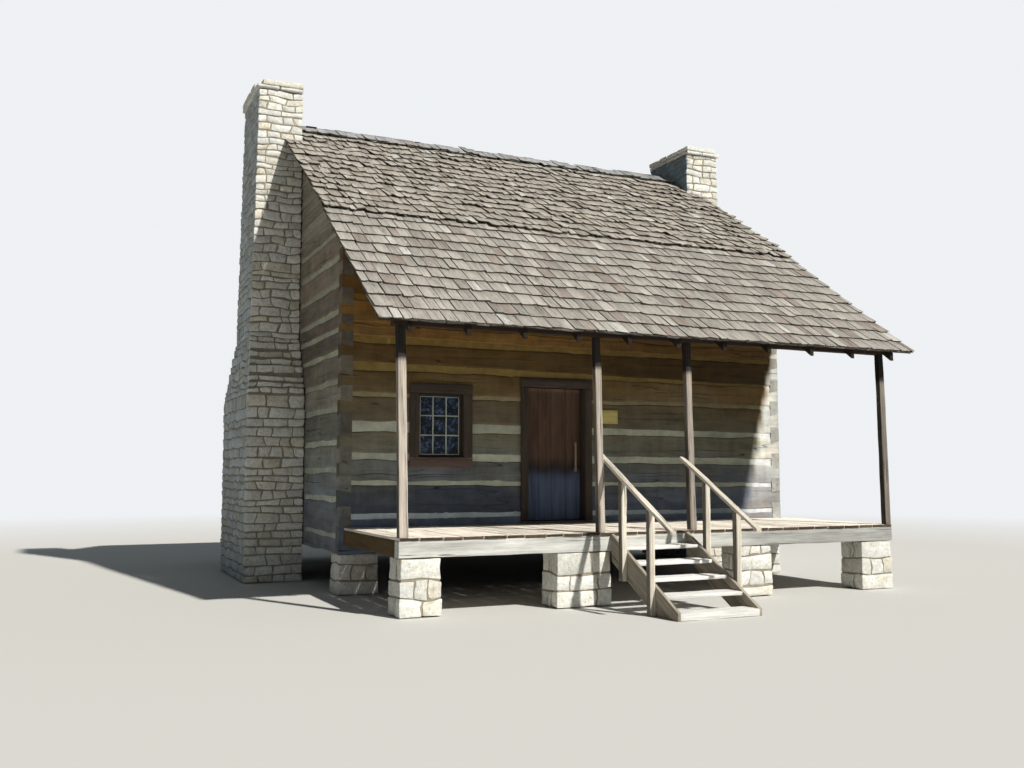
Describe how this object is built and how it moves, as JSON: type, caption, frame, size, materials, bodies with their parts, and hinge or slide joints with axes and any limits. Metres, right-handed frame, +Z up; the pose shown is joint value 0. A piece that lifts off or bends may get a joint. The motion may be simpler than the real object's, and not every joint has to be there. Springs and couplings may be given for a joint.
{
  "type": "log cabin",
  "caption": "Hewn-log cabin on stone piers with a front porch, porch steps, board door, small window, shake roof and stone end chimneys.",
  "frame": {"origin": "centre of the bounding box at ground level", "axes": "+Z up, +Y from the porch and steps into the house, +X to the right of somebody facing the door"},
  "size_m": [8.92, 10.2138, 7.6937],
  "materials": {
    "logs": "weathered hewn timber, grey brown, checked along the grain",
    "chinking": "pale clay and lime daub, trowelled smooth",
    "gable_boards": "weathered sawn boards",
    "shakes": "split wooden shakes weathered grey",
    "roof_timber": "rough sawn rafters",
    "porch_timber": "weathered pale timber, hewn",
    "floor_boards": "worn boards, pale grey brown",
    "floor_timber": "rough sawn joists",
    "fieldstone": "dry laid and mortared limestone rubble",
    "frame_boards": "dark red brown boards",
    "door_boards": "dark upright boards, worn grey near the bottom",
    "sash_wood": "pale painted wood, worn",
    "pull_wood": "pale worn wood",
    "iron": "forged iron, dull black with rust",
    "window_pane": "clear glass",
    "board": "bare tan board"
  },
  "bodies": {
    "cabin": {"front_sill_log": "logs", "front_wall_below_window": "logs", "front_wall_beside_window": "logs", "front_wall_over_window": "logs", "front_wall_right_of_door": "logs", "front_wall_over_door": "logs", "back_wall": "logs", "left_wall": "logs", "right_wall": "logs", "front_chinking": "chinking", "back_chinking": "chinking", "side_chinking": "chinking", "gables": "gable_boards", "front_roof": "shakes", "back_roof": "shakes", "porch_roof": "shakes", "main_rafters": "roof_timber", "porch_rafters": "roof_timber", "porch_plate": "porch_timber", "porch_posts": "porch_timber", "porch_front_beam": "porch_timber", "porch_cross_beams": "floor_timber", "porch_joists": "floor_timber", "house_floor_joists": "floor_timber", "porch_floor": "floor_boards", "house_floor": "floor_boards", "porch_piers": "fieldstone", "house_piers": "fieldstone", "left_chimney": "fieldstone", "right_chimney": "fieldstone", "chimney_caps": "fieldstone", "door_frame": "frame_boards", "window_frame": "frame_boards", "door_hinge_pins": "iron", "window_sash": "frame_boards", "window_glass": "window_pane", "step_stringers": "porch_timber", "step_treads": "porch_timber", "step_rail_posts": "porch_timber", "step_handrails": "porch_timber", "wall_plaque": "board"},
    "door": {"door_leaf": "door_boards", "door_battens": "door_boards", "door_handle": "pull_wood", "door_hinge_straps": "iron"}
  },
  "joints": [
    {"name": "door_hinge", "type": "hinge", "parent": "cabin", "child": "door", "pos_m": [-0.877, -1.20663, 1.85], "axis": [0, 0, 1], "range_deg": [0, 95]}
  ]
}
